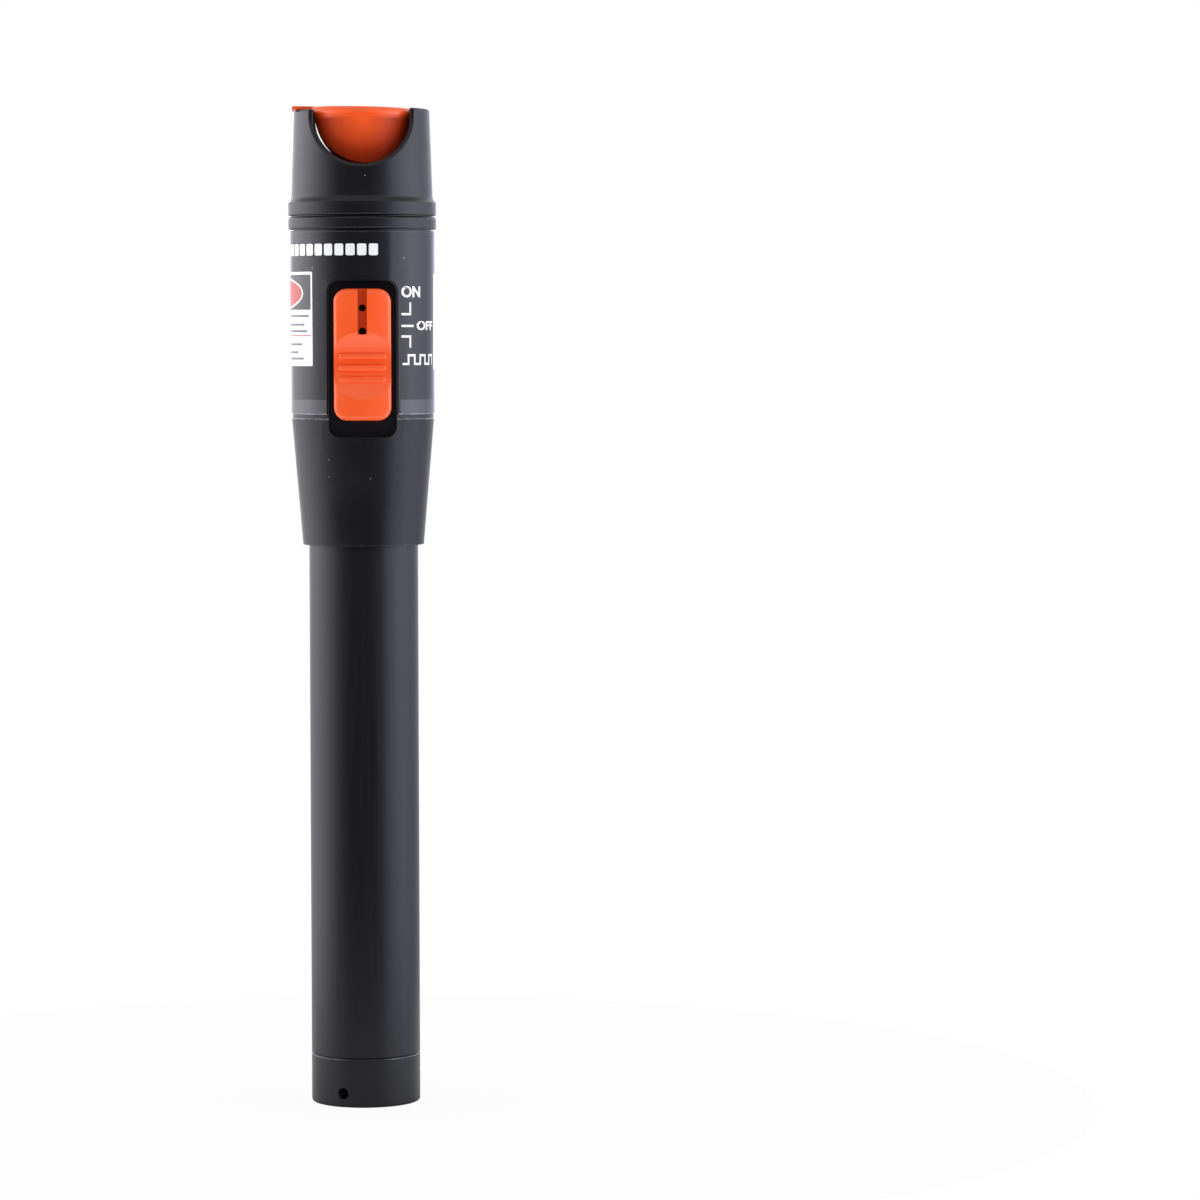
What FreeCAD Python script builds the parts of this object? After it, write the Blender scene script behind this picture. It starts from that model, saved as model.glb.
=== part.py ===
import FreeCAD, Part
import math
import os

# A pen-shaped light source for finding breaks in optical fibre.
# Millimetres, +Z along the pen from the tail cap to the nose, switch facing -Y.
# The origin is the centre of the tail cap's flat end.

# ---- clearances ----
RUNNING_GAP = 0.05        # round parts that push or screw into each other
SLIDING_GAP = 0.15        # flat faces that move past each other
SWING_GAP = 0.3           # curved faces that move past each other
SEAT_GAP = 0.03           # thin parts laid on a curved face
CUT_OVER = 1.0            # how far a cutter runs past the face that it cuts
CUT_LENGTH = 60.0         # longer than anything a cutter has to pass through
MATCH = 0.05              # how near an edge lies to where it is looked for

# ---- two AA cells and their contacts ----
CELL_LENGTH = 50.5
CELL_NUB_RADIUS = 2.75
CELL_NUB_HEIGHT = 1.2
CELL_GAP = 0.5            # room round the cells in the barrel
CONTACT_SHEET = 0.4
SPRING_HEIGHT = 3.4
SPRING_WIRE_RADIUS = 0.35
SPRING_WIDE_RADIUS = 5.2
SPRING_NARROW_RADIUS = 2.6
SPRING_TURNS = 3
INSULATOR_HEIGHT = 3.0
FRONT_CONTACT_RADIUS = 4.5
STRIP_WIDTH = 3.0
STRIP_SHEET = 0.3
STRIP_REACH = 5.0         # how far a contact strip runs up the board

# ---- tail cap ----
CAP_HEIGHT = 8.72
CAP_FLOOR = 4.6
CAP_EDGE_ROUND = 0.45
CAP_SEAM_BEVEL = 0.12
THREAD_LENGTH = 6.3
THREAD_COVER = 1.2        # barrel wall left outside the thread
SEAL_RING_RADIUS = 0.3
LANYARD_HOLE_RADIUS = 1.0
LANYARD_HOLE_HEIGHT = 2.5
LANYARD_HOLE_TURN = 24.6  # degrees from the switch side towards -X

# ---- barrel ----
BARREL_RADIUS = 9.65
BARREL_WALL = 2.05
BARREL_SOCKET = 13.4      # how far the barrel goes into the housing

# ---- housing ----
TAPER_FOOT_STEP = 1.05    # the taper's foot stands this far out from the barrel
TAPER_TOP_STEP = 0.5      # and its top this far in from the bulkhead ring
TAPER_LENGTH = 22.0
SHOULDER_STEP = 0.45
SHOULDER_LAND = 0.3
LABEL_STEP = 0.45         # the label's upper end, in from the bulkhead ring
LABEL_DRAFT = 0.14
HOUSING_WALL = 1.7
STOP_RING_HEIGHT = 1.2
STOP_RING_RADIUS = 6.6
RAIL_THICKNESS = 1.0
RAIL_GRIP = 0.7           # how much of the board's edge each rail holds
RAIL_LENGTH = 32.0

# ---- printed film wrapped round the housing ----
FILM_THICKNESS = 0.15
FILM_FOOT_MARGIN = 0.8
FILM_TOP_MARGIN = 0.2
FILM_WELL_MARGIN = 0.3

# ---- switch well and thumb slider ----
WELL_CORNER = 1.9
WELL_FLOOR_DEPTH = 2.6    # from the film's foot radius down to the floor, on the centre line
WELL_FLOOR_WALL = 1.2
WELL_SIDE_WALL = 1.2
WELL_BELOW_SHOULDER = 2.9
KNOB_WIDTH = 10.0
KNOB_LENGTH = 23.0
KNOB_CORNER = 2.3
KNOB_PROUD = 0.8
KNOB_EDGE_ROUND = 0.9
KNOB_SIDE_GAP = 0.95      # between the knob and each side of the well
KNOB_UP_TRAVEL = 1.3
KNOB_DOWN_TRAVEL = 2.9
KNOB_END_GAP = 0.1
SLOT_WIDTH = 1.6
SLOT_LENGTH = 8.0
SLOT_DEPTH = 1.1
PEEP_HOLE_RADIUS = 0.62
PEEP_HOLE_DROPS = (3.35, 7.4)
HOLLOW_LENGTH = 11.8
HOLLOW_DEPTH = 1.4
HOLLOW_DROP = 13.4        # from the knob's top end to the middle of the hollow
RIB_COUNT = 3
RIB_PITCH = 2.05
RIB_LENGTH = 8.4
RIB_RADIUS = 0.56
RIB_LIFT = 0.1            # rib centres above the hollow's floor
RIB_DROP = 13.85          # from the knob's top end to the middle rib

# ---- circuit board and slide switch ----
BOARD_THICKNESS = 1.0
BOARD_WIDTH = 16.0
BOARD_LENGTH = 27.3
BOARD_BACK_Y = -0.35
BOARD_END_GAP = 0.55      # between the board's end and the laser module
PART_GAP = 1.0            # between parts on the board, and from its edge
SWITCH_WIDTH = 6.0
SWITCH_LENGTH = 14.0
SWITCH_BASE_HEIGHT = 1.0
SWITCH_CASE_HEIGHT = 4.2
SWITCH_CASE_SHEET = 0.3
STEM_WIDTH = 2.0
STEM_LENGTH = 3.0
STEM_FOOT_WIDTH = 4.6
STEM_FOOT_LENGTH = 4.4
STEM_GRIP = 1.3           # how far the stem goes into the knob
PIN_COUNT = 4
PIN_PITCH = 3.0
PIN_RADIUS = 0.3
PIN_LENGTH = 2.1
CHIP_SIZE = (5.0, 1.5, 4.0)
COIL_RADIUS = 1.9
COIL_HEIGHT = 2.6
CAPACITOR_RADIUS = 1.6
CAPACITOR_HEIGHT = 4.5
RESISTOR_SIZE = (0.8, 0.5, 1.6)
RESISTOR_COUNT = 4
RESISTOR_PITCH = 2.2
TRIMMER_SIZE = (3.0, 1.8, 3.0)

# ---- laser module and fibre adapter ----
MODULE_RADIUS = 5.5
MODULE_LENGTH = 15.0
MODULE_FLANGE_RADIUS = 7.6
MODULE_FLANGE_HEIGHT = 1.6
MODULE_THREAD = 4.0
DIODE_FLANGE_RADIUS = 2.8
DIODE_FLANGE_HEIGHT = 1.2
DIODE_CAN_RADIUS = 2.05
DIODE_CAN_HEIGHT = 2.4
DIODE_LEAD_RADIUS = 0.225
DIODE_LEAD_OFFSET = 1.0
DIODE_LEAD_LENGTH = 7.0
LENS_RADIUS = 3.15
LENS_EDGE = 0.8
LENS_BULGE = 0.9
LENS_RING_HEIGHT = 1.8
LENS_RING_WALL = 0.4
BEAM_RADIUS = 2.2
BEAM_LENGTH = 2.0         # from the diode's can to the lens
FERRULE_BORE_RADIUS = 1.26
SLEEVE_WALL = 0.4
SLEEVE_LENGTH = 9.75
SLEEVE_SLIT = 0.3
ADAPTER_TUBE_RADIUS = 3.3
ADAPTER_SKIRT_RADIUS = 6.8
ADAPTER_FLOOR = 1.2
STOP_RADIUS = 4.2
STOP_THICKNESS = 0.8
ADAPTER_LIP = 0.45
ADAPTER_LIP_RADIUS = 1.35
ADAPTER_FLAT_WIDTH = 12.0
ADAPTER_BEVEL = 0.5
LIGHT_HOLE_RADIUS = 0.9

# ---- bulkhead ring that closes the housing ----
RING_RADIUS = 13.05
RING_HEIGHT = 2.2
RING_ROUND = 0.3
RING_TOP_ROUND = 0.5
RING_SHADOW_GAP = 0.25
RING_SEAT_STEP = 0.95
GROOVE_STEP = 0.6
GROOVE_HEIGHT = 0.2
WEB_HEIGHT = 3.0
SPIGOT_DEPTH = 4.75
BULKHEAD_WALL = 1.25
NECK_HEIGHT = 3.7

# ---- nose hood ----
HOOD_HEIGHT = 18.75
HOOD_MOUTH_STEP = 1.12    # the hood's mouth, in from its foot ring
HOOD_WAIST_STEP = 0.6
HOOD_WALL = 1.73          # at the mouth
HOOD_RING_HEIGHT = 2.3
HOOD_FLARE_HEIGHT = 1.3
HOOD_FLARE_BEND = 0.12    # how hollow the flare between ring and waist is
HOOD_RIM_ROUND = 0.35
TAB_SEAT_DEPTH = 0.25     # the left ear is this much lower, for the lid's tab
EAR_DEPTH = 3.63          # from the mouth in to the window's side
WINDOW_CENTRE_DROP = 1.55
WINDOW_EDGE_ROUND = 0.6

# ---- flip lid over the nose ----
LID_THICKNESS = 1.3
LID_RISE = 0.04           # top of the lid above the hood's rim, at the hinge end
LID_EDGE_ROUND = 1.1
LID_END_STEP = 1.2        # the lid's straight end, in from the hinge
LID_TONGUE_WALL = 1.3
LID_TONGUE_ROUND = 0.35
LID_TONGUE_DRAFT = 0.4
LID_TONGUE_INSET = 0.15    # the tongues' upper ends, in from the lid's edge
LID_TONGUE_LAP = 1.0      # how far the tongues reach behind the window's edge
LID_TONGUE_FOOT = 0.5
LID_TONGUE_SHIFT = 0.98
LID_TONGUE_DROP = 0.75
LID_TAB_WIDTH = 7.2
LID_TAB_OVERHANG = 0.32
LID_TAB_LIP = 0.2
LID_TAB_ROUND = 0.3
LID_SEAT_TILT = 1.1       # degrees that the lid's tab stands up when shut
HINGE_INSET = 0.7         # the hinge, in from the hood's bore
HINGE_DROP = 0.9
HINGE_PIN_RADIUS = 0.5
HINGE_PIN_LENGTH = 12.0
HINGE_PIN_GAP = 0.05
KNUCKLE_RADIUS = 0.8
KNUCKLE_LENGTH = 5.6
KNUCKLE_POCKET_GAP = 0.2

# ---- heights along the pen, worked out from the sizes above ----
tail_contact_z = CAP_FLOOR
spring_z = tail_contact_z + CONTACT_SHEET
rear_cell_z = spring_z + SPRING_HEIGHT
front_cell_z = rear_cell_z + CELL_LENGTH
front_contact_z = front_cell_z + CELL_LENGTH
insulator_z = front_contact_z + CONTACT_SHEET
barrel_top_z = insulator_z + INSULATOR_HEIGHT
housing_foot_z = barrel_top_z - BARREL_SOCKET
shoulder_z = housing_foot_z + TAPER_LENGTH
label_foot_z = shoulder_z + SHOULDER_LAND
board_z = barrel_top_z + STOP_RING_HEIGHT + SLIDING_GAP
board_top_z = board_z + BOARD_LENGTH
module_z = board_top_z + BOARD_END_GAP
module_top_z = module_z + MODULE_LENGTH
web_top_z = module_top_z - MODULE_THREAD
spigot_z = web_top_z - WEB_HEIGHT
module_flange_z = spigot_z - MODULE_FLANGE_HEIGHT
housing_top_z = spigot_z + SPIGOT_DEPTH
well_foot_z = shoulder_z - WELL_BELOW_SHOULDER
well_length = KNOB_LENGTH + KNOB_UP_TRAVEL + KNOB_DOWN_TRAVEL + 2 * KNOB_END_GAP
knob_foot_z = well_foot_z + KNOB_DOWN_TRAVEL + KNOB_END_GAP
knob_top_z = knob_foot_z + KNOB_LENGTH
stem_z = (knob_foot_z + knob_top_z) / 2
ring_z = housing_top_z + RING_SHADOW_GAP
groove_z = ring_z + RING_HEIGHT
hood_z = groove_z + GROOVE_HEIGHT
hood_top_z = hood_z + HOOD_HEIGHT
adapter_floor_z = module_top_z + SLIDING_GAP
adapter_step_z = adapter_floor_z + ADAPTER_FLOOR
stop_z = module_top_z - STOP_THICKNESS
adapter_top_z = module_top_z + SLEEVE_LENGTH + RUNNING_GAP + ADAPTER_LIP
hinge_z = hood_top_z - HINGE_DROP

# ---- places across the pen ----
outside_y = -RING_RADIUS - CUT_OVER
barrel_bore_radius = BARREL_RADIUS - BARREL_WALL
cell_radius = barrel_bore_radius - CELL_GAP
thread_radius = BARREL_RADIUS - THREAD_COVER
taper_foot_radius = BARREL_RADIUS + TAPER_FOOT_STEP
taper_top_radius = RING_RADIUS - TAPER_TOP_STEP
shoulder_radius = RING_RADIUS - SHOULDER_STEP
label_top_radius = RING_RADIUS - LABEL_STEP
label_foot_radius = label_top_radius - LABEL_DRAFT
ring_seat_radius = RING_RADIUS - RING_SEAT_STEP
groove_radius = RING_RADIUS - GROOVE_STEP
hood_mouth_radius = RING_RADIUS - HOOD_MOUTH_STEP
hood_waist_radius = RING_RADIUS - HOOD_WAIST_STEP
hood_bore_radius = hood_mouth_radius - HOOD_WALL
window_radius = hood_mouth_radius - EAR_DEPTH
lid_tongue_radius = window_radius + LID_TONGUE_LAP
hinge_x = hood_bore_radius - HINGE_INSET
lid_end_x = hinge_x - LID_END_STEP
well_width = KNOB_WIDTH + 2 * KNOB_SIDE_GAP
well_floor_y = -(label_foot_radius - WELL_FLOOR_DEPTH)
well_inner_y = well_floor_y + WELL_FLOOR_WALL
board_front_y = BOARD_BACK_Y - BOARD_THICKNESS
switch_case_y = board_front_y - SWITCH_BASE_HEIGHT
switch_top_y = switch_case_y - SWITCH_CASE_HEIGHT
knob_back_y = well_floor_y - SLIDING_GAP
knob_front_radius = label_top_radius + KNOB_PROUD
housing_bore_radius = label_foot_radius - HOUSING_WALL

CENTRE = FreeCAD.Vector(0, 0, 0)
ALONG_X = FreeCAD.Vector(1, 0, 0)
ALONG_Y = FreeCAD.Vector(0, 1, 0)
ALONG_Z = FreeCAD.Vector(0, 0, 1)


def at(x, y, z):
    return FreeCAD.Vector(x, y, z)


def box(x0, x1, y0, y1, z0, z1):
    return Part.makeBox(x1 - x0, y1 - y0, z1 - z0, at(x0, y0, z0))


def disc(radius, z0, z1):
    return Part.makeCylinder(radius, z1 - z0, at(0, 0, z0), ALONG_Z)


def tube(outer, inner, z0, z1):
    return disc(outer, z0, z1).cut(disc(inner, z0 - CUT_OVER, z1 + CUT_OVER))


def rod_y(radius, x, y0, y1, z):
    return Part.makeCylinder(radius, y1 - y0, at(x, y0, z), ALONG_Y)


def turned(profile):
    """Turn a closed outline about the pen's axis.

    Each entry is a corner (r, z), or a pair (point on an arc, end of the arc).
    """
    first = at(profile[0][0], 0, profile[0][1])
    edges = []
    last = first
    for entry in profile[1:] + [profile[0]]:
        if isinstance(entry[0], tuple):
            middle = at(entry[0][0], 0, entry[0][1])
            end = at(entry[1][0], 0, entry[1][1])
            edges.append(Part.Arc(last, middle, end).toShape())
        else:
            end = at(entry[0], 0, entry[1])
            edges.append(Part.makeLine(last, end))
        last = end
    return Part.Face(Part.Wire(edges)).revolve(CENTRE, ALONG_Z, 360)


def rounded_plate(width, z0, z1, corner, y0, y1):
    """A plate facing -Y whose outline has round corners."""
    plate = box(-width / 2, width / 2, y0, y1, z0, z1)
    corners = [edge for edge in plate.Edges if edge_runs_along(edge, ALONG_Y)]
    return plate.makeFillet(corner, corners)


def edge_runs_along(edge, direction):
    if edge.Curve.TypeId != "Part::GeomLine":
        return False
    return abs(edge.tangentAt(edge.FirstParameter).dot(direction)) > 0.999


def round_edges(shape, amount, wanted):
    edges = [edge for edge in shape.Edges if wanted(edge)]
    return shape.makeFillet(amount, edges)


def ring_edge(radius, z):
    """Pick the circular edges of one radius at one height."""
    def wanted(edge):
        curve = edge.Curve
        if curve.TypeId != "Part::GeomCircle":
            return False
        return abs(curve.Radius - radius) < MATCH and abs(curve.Center.z - z) < MATCH
    return wanted


# ---- tail ----

def tail_cap():
    outer = BARREL_RADIUS
    bore = barrel_bore_radius
    thread_top = CAP_HEIGHT + THREAD_LENGTH
    groove_depth = 2 * SEAL_RING_RADIUS - RUNNING_GAP
    groove_top = CAP_HEIGHT + 2 * SEAL_RING_RADIUS + 2 * RUNNING_GAP
    round_in = CAP_EDGE_ROUND * (1 - math.sqrt(0.5))
    body = turned([
        (0, 0),
        (outer - CAP_EDGE_ROUND, 0),
        ((outer - round_in, round_in), (outer, CAP_EDGE_ROUND)),
        (outer, CAP_HEIGHT - CAP_SEAM_BEVEL),
        (outer - CAP_SEAM_BEVEL, CAP_HEIGHT),
        (thread_radius - groove_depth, CAP_HEIGHT),
        (thread_radius - groove_depth, groove_top),
        (thread_radius, groove_top),
        (thread_radius, thread_top),
        (bore, thread_top),
        (bore, CAP_FLOOR),
        (0, CAP_FLOOR),
    ])
    turn = math.radians(LANYARD_HOLE_TURN)
    direction = at(math.sin(turn), math.cos(turn), 0)
    start = at(0, 0, LANYARD_HOLE_HEIGHT) - direction * (CUT_LENGTH / 2)
    return body.cut(Part.makeCylinder(LANYARD_HOLE_RADIUS, CUT_LENGTH, start, direction))


def seal_ring():
    z = CAP_HEIGHT + SEAL_RING_RADIUS + RUNNING_GAP
    return Part.makeTorus(thread_radius - SEAL_RING_RADIUS + RUNNING_GAP, SEAL_RING_RADIUS, at(0, 0, z))


def tail_contact():
    return disc(barrel_bore_radius - SWING_GAP, tail_contact_z, tail_contact_z + CONTACT_SHEET)


def tail_spring():
    rise = SPRING_HEIGHT - 2 * SPRING_WIRE_RADIUS
    spread = SPRING_WIDE_RADIUS - SPRING_NARROW_RADIUS
    slant = math.hypot(rise, spread)
    slope = math.degrees(math.atan2(spread, rise))
    coil = Part.makeHelix(slant / SPRING_TURNS, slant, SPRING_NARROW_RADIUS, slope)
    coil.rotate(CENTRE, ALONG_X, 180)
    coil.translate(at(0, 0, rear_cell_z - SPRING_WIRE_RADIUS))
    start = coil.Edges[0].valueAt(coil.Edges[0].FirstParameter)
    heading = coil.Edges[0].tangentAt(coil.Edges[0].FirstParameter)
    section = Part.Wire(Part.makeCircle(SPRING_WIRE_RADIUS, start, heading))
    return Part.Wire(coil.Edges).makePipeShell([section], True, True)


# ---- cells and barrel ----

def cell(z):
    shoulder = z + CELL_LENGTH - CELL_NUB_HEIGHT
    body = disc(cell_radius, z, shoulder)
    body = round_edges(body, CELL_NUB_HEIGHT / 2, ring_edge(cell_radius, shoulder))
    return body.fuse(disc(CELL_NUB_RADIUS, shoulder, z + CELL_LENGTH))


def barrel_tube():
    foot = CAP_HEIGHT + SEAT_GAP
    counterbore = thread_radius + RUNNING_GAP
    counterbore_top = CAP_HEIGHT + THREAD_LENGTH + SWING_GAP
    return turned([
        (counterbore, foot),
        (BARREL_RADIUS - CAP_SEAM_BEVEL, foot),
        (BARREL_RADIUS, foot + CAP_SEAM_BEVEL),
        (BARREL_RADIUS, barrel_top_z),
        (barrel_bore_radius, barrel_top_z),
        (barrel_bore_radius, counterbore_top),
        (counterbore, counterbore_top),
    ])


def contact_insulator():
    z1 = insulator_z + INSULATOR_HEIGHT
    plug = disc(barrel_bore_radius - RUNNING_GAP, insulator_z, z1)
    gap = SLIDING_GAP
    slot_y0 = board_front_y - STRIP_SHEET - gap
    slot_y1 = board_front_y + gap
    half = STRIP_WIDTH / 2 + gap
    return plug.cut(box(-half, half, slot_y0, slot_y1, insulator_z - CUT_OVER, z1 + CUT_OVER))


def front_contact():
    plate = disc(FRONT_CONTACT_RADIUS, front_contact_z, insulator_z)
    half = STRIP_WIDTH / 2
    strip = box(-half, half, board_front_y - STRIP_SHEET, board_front_y, insulator_z, board_z + STRIP_REACH)
    return plate.fuse(strip)


def ground_clip_span():
    """X range of the clip that joins the barrel's end to the board."""
    outer = rail_inner_x() - SLIDING_GAP
    return outer - STRIP_WIDTH, outer


def ground_clip_foot_y():
    """How far the clip's foot reaches across the barrel's end."""
    x1 = ground_clip_span()[1]
    return math.sqrt((BARREL_RADIUS - SLIDING_GAP) ** 2 - x1 ** 2)


def ground_clip():
    x0, x1 = ground_clip_span()
    back_y = BOARD_BACK_Y + STRIP_SHEET
    leg = box(x0, x1, BOARD_BACK_Y, back_y, barrel_top_z, board_z + STRIP_REACH)
    foot = box(x0, x1, BOARD_BACK_Y, ground_clip_foot_y(), barrel_top_z, barrel_top_z + STRIP_SHEET)
    return leg.fuse(foot)


# ---- housing ----

def taper_slope():
    return (taper_top_radius - taper_foot_radius) / TAPER_LENGTH


def taper_radius(z):
    return taper_foot_radius + taper_slope() * (z - housing_foot_z)


def housing_skin():
    """The housing's outside, as a solid."""
    return turned([
        (0, housing_foot_z),
        (taper_foot_radius, housing_foot_z),
        (taper_top_radius, shoulder_z),
        (shoulder_radius, shoulder_z + SHOULDER_LAND / 2),
        (label_foot_radius, label_foot_z),
        (label_top_radius, housing_top_z),
        (0, housing_top_z),
    ])


def housing_core():
    """The room inside the housing for the board and the laser module."""
    core_z = barrel_top_z + STOP_RING_HEIGHT
    return turned([
        (0, core_z),
        (taper_radius(core_z) - HOUSING_WALL, core_z),
        (housing_bore_radius, shoulder_z),
        (housing_bore_radius, housing_top_z + CUT_OVER),
        (0, housing_top_z + CUT_OVER),
    ])


def well_pad():
    """Thicker wall behind the switch well."""
    half = well_width / 2 + WELL_SIDE_WALL
    z0 = well_foot_z - WELL_SIDE_WALL
    z1 = well_foot_z + well_length + WELL_SIDE_WALL
    return box(-half, half, -RING_RADIUS, well_inner_y, z0, z1)


def well_cutter(margin, depth_y):
    """The well's outline, grown by a margin, from outside the pen in to depth_y."""
    width = well_width + 2 * margin
    z0 = well_foot_z - margin
    z1 = well_foot_z + well_length + margin
    return rounded_plate(width, z0, z1, WELL_CORNER + margin, outside_y, depth_y)


def stem_slot():
    half = STEM_WIDTH / 2 + SLIDING_GAP
    z0 = stem_z - STEM_LENGTH / 2 - KNOB_DOWN_TRAVEL - KNOB_END_GAP
    z1 = stem_z + STEM_LENGTH / 2 + KNOB_UP_TRAVEL + KNOB_END_GAP
    return box(-half, half, well_floor_y - CUT_OVER, well_inner_y + CUT_OVER, z0, z1)


def rail_inner_x():
    return BOARD_WIDTH / 2 - RAIL_GRIP


def board_rails():
    """Two pairs of ribs that the board's long edges slide between."""
    rails = []
    inner = rail_inner_x()
    outer = housing_bore_radius
    back_y = BOARD_BACK_Y + SLIDING_GAP
    front_y = board_front_y - SLIDING_GAP
    z0 = barrel_top_z + STOP_RING_HEIGHT
    z1 = z0 + RAIL_LENGTH
    for x0, x1 in ((-outer, -inner), (inner, outer)):
        rails.append(box(x0, x1, back_y, back_y + RAIL_THICKNESS, z0, z1))
        rails.append(box(x0, x1, front_y - RAIL_THICKNESS, front_y, z0, z1))
    return rails


def clip_slot():
    x0, x1 = ground_clip_span()
    gap = SLIDING_GAP
    y1 = ground_clip_foot_y() + gap
    z0 = barrel_top_z - CUT_OVER
    z1 = barrel_top_z + STOP_RING_HEIGHT + CUT_OVER
    return box(x0 - gap, x1 + gap, BOARD_BACK_Y - gap, y1, z0, z1)


def housing():
    skin = housing_skin()
    inside = [well_pad()] + board_rails()
    shell = skin.cut(housing_core())
    shell = shell.fuse(Part.makeCompound(inside).common(skin)).removeSplitter()
    socket = disc(BARREL_RADIUS + RUNNING_GAP, housing_foot_z - CUT_OVER, barrel_top_z)
    shell = shell.cut(socket)
    stop_top = barrel_top_z + STOP_RING_HEIGHT + CUT_OVER
    shell = shell.cut(disc(STOP_RING_RADIUS, barrel_top_z - CUT_OVER, stop_top))
    return shell.cut([well_cutter(0, well_floor_y), stem_slot(), clip_slot()])


def label_film():
    z0 = label_foot_z + FILM_FOOT_MARGIN
    z1 = housing_top_z - FILM_TOP_MARGIN
    slope = (label_top_radius - label_foot_radius) / (housing_top_z - label_foot_z)
    foot = label_foot_radius + slope * (z0 - label_foot_z) + SEAT_GAP
    top = label_foot_radius + slope * (z1 - label_foot_z) + SEAT_GAP
    film = turned([
        (foot, z0),
        (foot + FILM_THICKNESS, z0),
        (top + FILM_THICKNESS, z1),
        (top, z1),
    ])
    return film.cut(well_cutter(FILM_WELL_MARGIN, well_floor_y))


# ---- board and switch ----

def circuit_board():
    half = BOARD_WIDTH / 2
    board = box(-half, half, board_front_y, BOARD_BACK_Y, board_z, board_top_z)
    return board.cut(switch_pin_rods(PIN_RADIUS + SLIDING_GAP))


def switch_pin_rods(radius):
    first = stem_z - PIN_PITCH * (PIN_COUNT - 1) / 2
    y0 = board_front_y
    return [rod_y(radius, 0, y0, y0 + PIN_LENGTH, first + i * PIN_PITCH) for i in range(PIN_COUNT)]


def switch_pins():
    return Part.makeCompound(switch_pin_rods(PIN_RADIUS))


def switch_span():
    """Z range of the slide switch, set so that the stem reaches both its ends."""
    middle = stem_z + (KNOB_UP_TRAVEL - KNOB_DOWN_TRAVEL) / 2
    return middle - SWITCH_LENGTH / 2, middle + SWITCH_LENGTH / 2


def switch_base():
    z0, z1 = switch_span()
    half = SWITCH_WIDTH / 2
    return box(-half, half, switch_case_y, board_front_y, z0, z1)


def switch_case():
    z0, z1 = switch_span()
    half = SWITCH_WIDTH / 2
    sheet = SWITCH_CASE_SHEET
    case = box(-half, half, switch_top_y, switch_case_y, z0, z1)
    inside = half - sheet
    room = box(-inside, inside, switch_top_y + sheet, switch_case_y + CUT_OVER, z0 + sheet, z1 - sheet)
    slot = stem_slot()
    slot.translate(at(0, switch_top_y - well_floor_y, 0))
    return case.cut([room, slot])


def switch_stem():
    half = STEM_WIDTH / 2
    foot_half = STEM_FOOT_WIDTH / 2
    foot_y = switch_top_y + SWITCH_CASE_SHEET + SLIDING_GAP
    foot = box(-foot_half, foot_half, foot_y, switch_case_y - SLIDING_GAP,
               stem_z - STEM_FOOT_LENGTH / 2, stem_z + STEM_FOOT_LENGTH / 2)
    lever = box(-half, half, knob_back_y - STEM_GRIP, foot_y,
                stem_z - STEM_LENGTH / 2, stem_z + STEM_LENGTH / 2)
    return foot.fuse(lever).removeSplitter()


def slide_knob():
    blank = rounded_plate(KNOB_WIDTH, knob_foot_z, knob_top_z, KNOB_CORNER, outside_y, knob_back_y)
    blank = blank.common(disc(knob_front_radius, knob_foot_z - CUT_OVER, knob_top_z + CUT_OVER))
    front_y = -math.sqrt(knob_front_radius ** 2 - (KNOB_WIDTH / 2) ** 2)

    def on_front(edge):
        return edge.BoundBox.YMax < front_y + MATCH

    knob = round_edges(blank, KNOB_EDGE_ROUND, on_front)
    knob = knob.cut(thumb_hollow())
    for rib in thumb_ribs():
        knob = knob.fuse(rib)
    return knob.removeSplitter().cut([knob_slot(), stem_socket()] + peep_holes())


def thumb_hollow():
    """A roller-shaped scoop across the knob."""
    radius = ((HOLLOW_LENGTH / 2) ** 2 + HOLLOW_DEPTH ** 2) / (2 * HOLLOW_DEPTH)
    y = -knob_front_radius + HOLLOW_DEPTH - radius
    z = knob_top_z - HOLLOW_DROP
    return Part.makeCylinder(radius, CUT_LENGTH, at(-CUT_LENGTH / 2, y, z), ALONG_X)


def thumb_ribs():
    ribs = []
    straight = RIB_LENGTH - 2 * RIB_RADIUS
    y = -knob_front_radius + HOLLOW_DEPTH - RIB_LIFT
    middle = (RIB_COUNT - 1) / 2
    for i in range(RIB_COUNT):
        z = knob_top_z - RIB_DROP + (i - middle) * RIB_PITCH
        bar = Part.makeCylinder(RIB_RADIUS, straight, at(-straight / 2, y, z), ALONG_X)
        for x in (-straight / 2, straight / 2):
            bar = bar.fuse(Part.makeSphere(RIB_RADIUS, at(x, y, z)))
        ribs.append(bar.removeSplitter())
    return ribs


def knob_slot():
    half = SLOT_WIDTH / 2
    floor_y = -knob_front_radius + SLOT_DEPTH
    return box(-half, half, outside_y, floor_y, knob_top_z - SLOT_LENGTH, knob_top_z + CUT_OVER)


def peep_holes():
    return [rod_y(PEEP_HOLE_RADIUS, 0, outside_y, knob_back_y + CUT_OVER, knob_top_z - drop)
            for drop in PEEP_HOLE_DROPS]


def stem_socket():
    half = STEM_WIDTH / 2 + SEAT_GAP
    half_z = STEM_LENGTH / 2 + SEAT_GAP
    end_y = knob_back_y - STEM_GRIP - SEAT_GAP
    return box(-half, half, end_y, knob_back_y + CUT_OVER, stem_z - half_z, stem_z + half_z)


def on_board(size, x, z):
    """A block soldered to the board's front, by its corner nearest the board's foot."""
    width, height, length = size
    return box(x, x + width, board_front_y - height, board_front_y, z, z + length)


def driver_chip():
    return on_board(CHIP_SIZE, PART_GAP - BOARD_WIDTH / 2, board_z + STRIP_REACH + PART_GAP)


def trimmer():
    return on_board(TRIMMER_SIZE, BOARD_WIDTH / 2 - TRIMMER_SIZE[0] - PART_GAP, board_z + PART_GAP)


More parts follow.
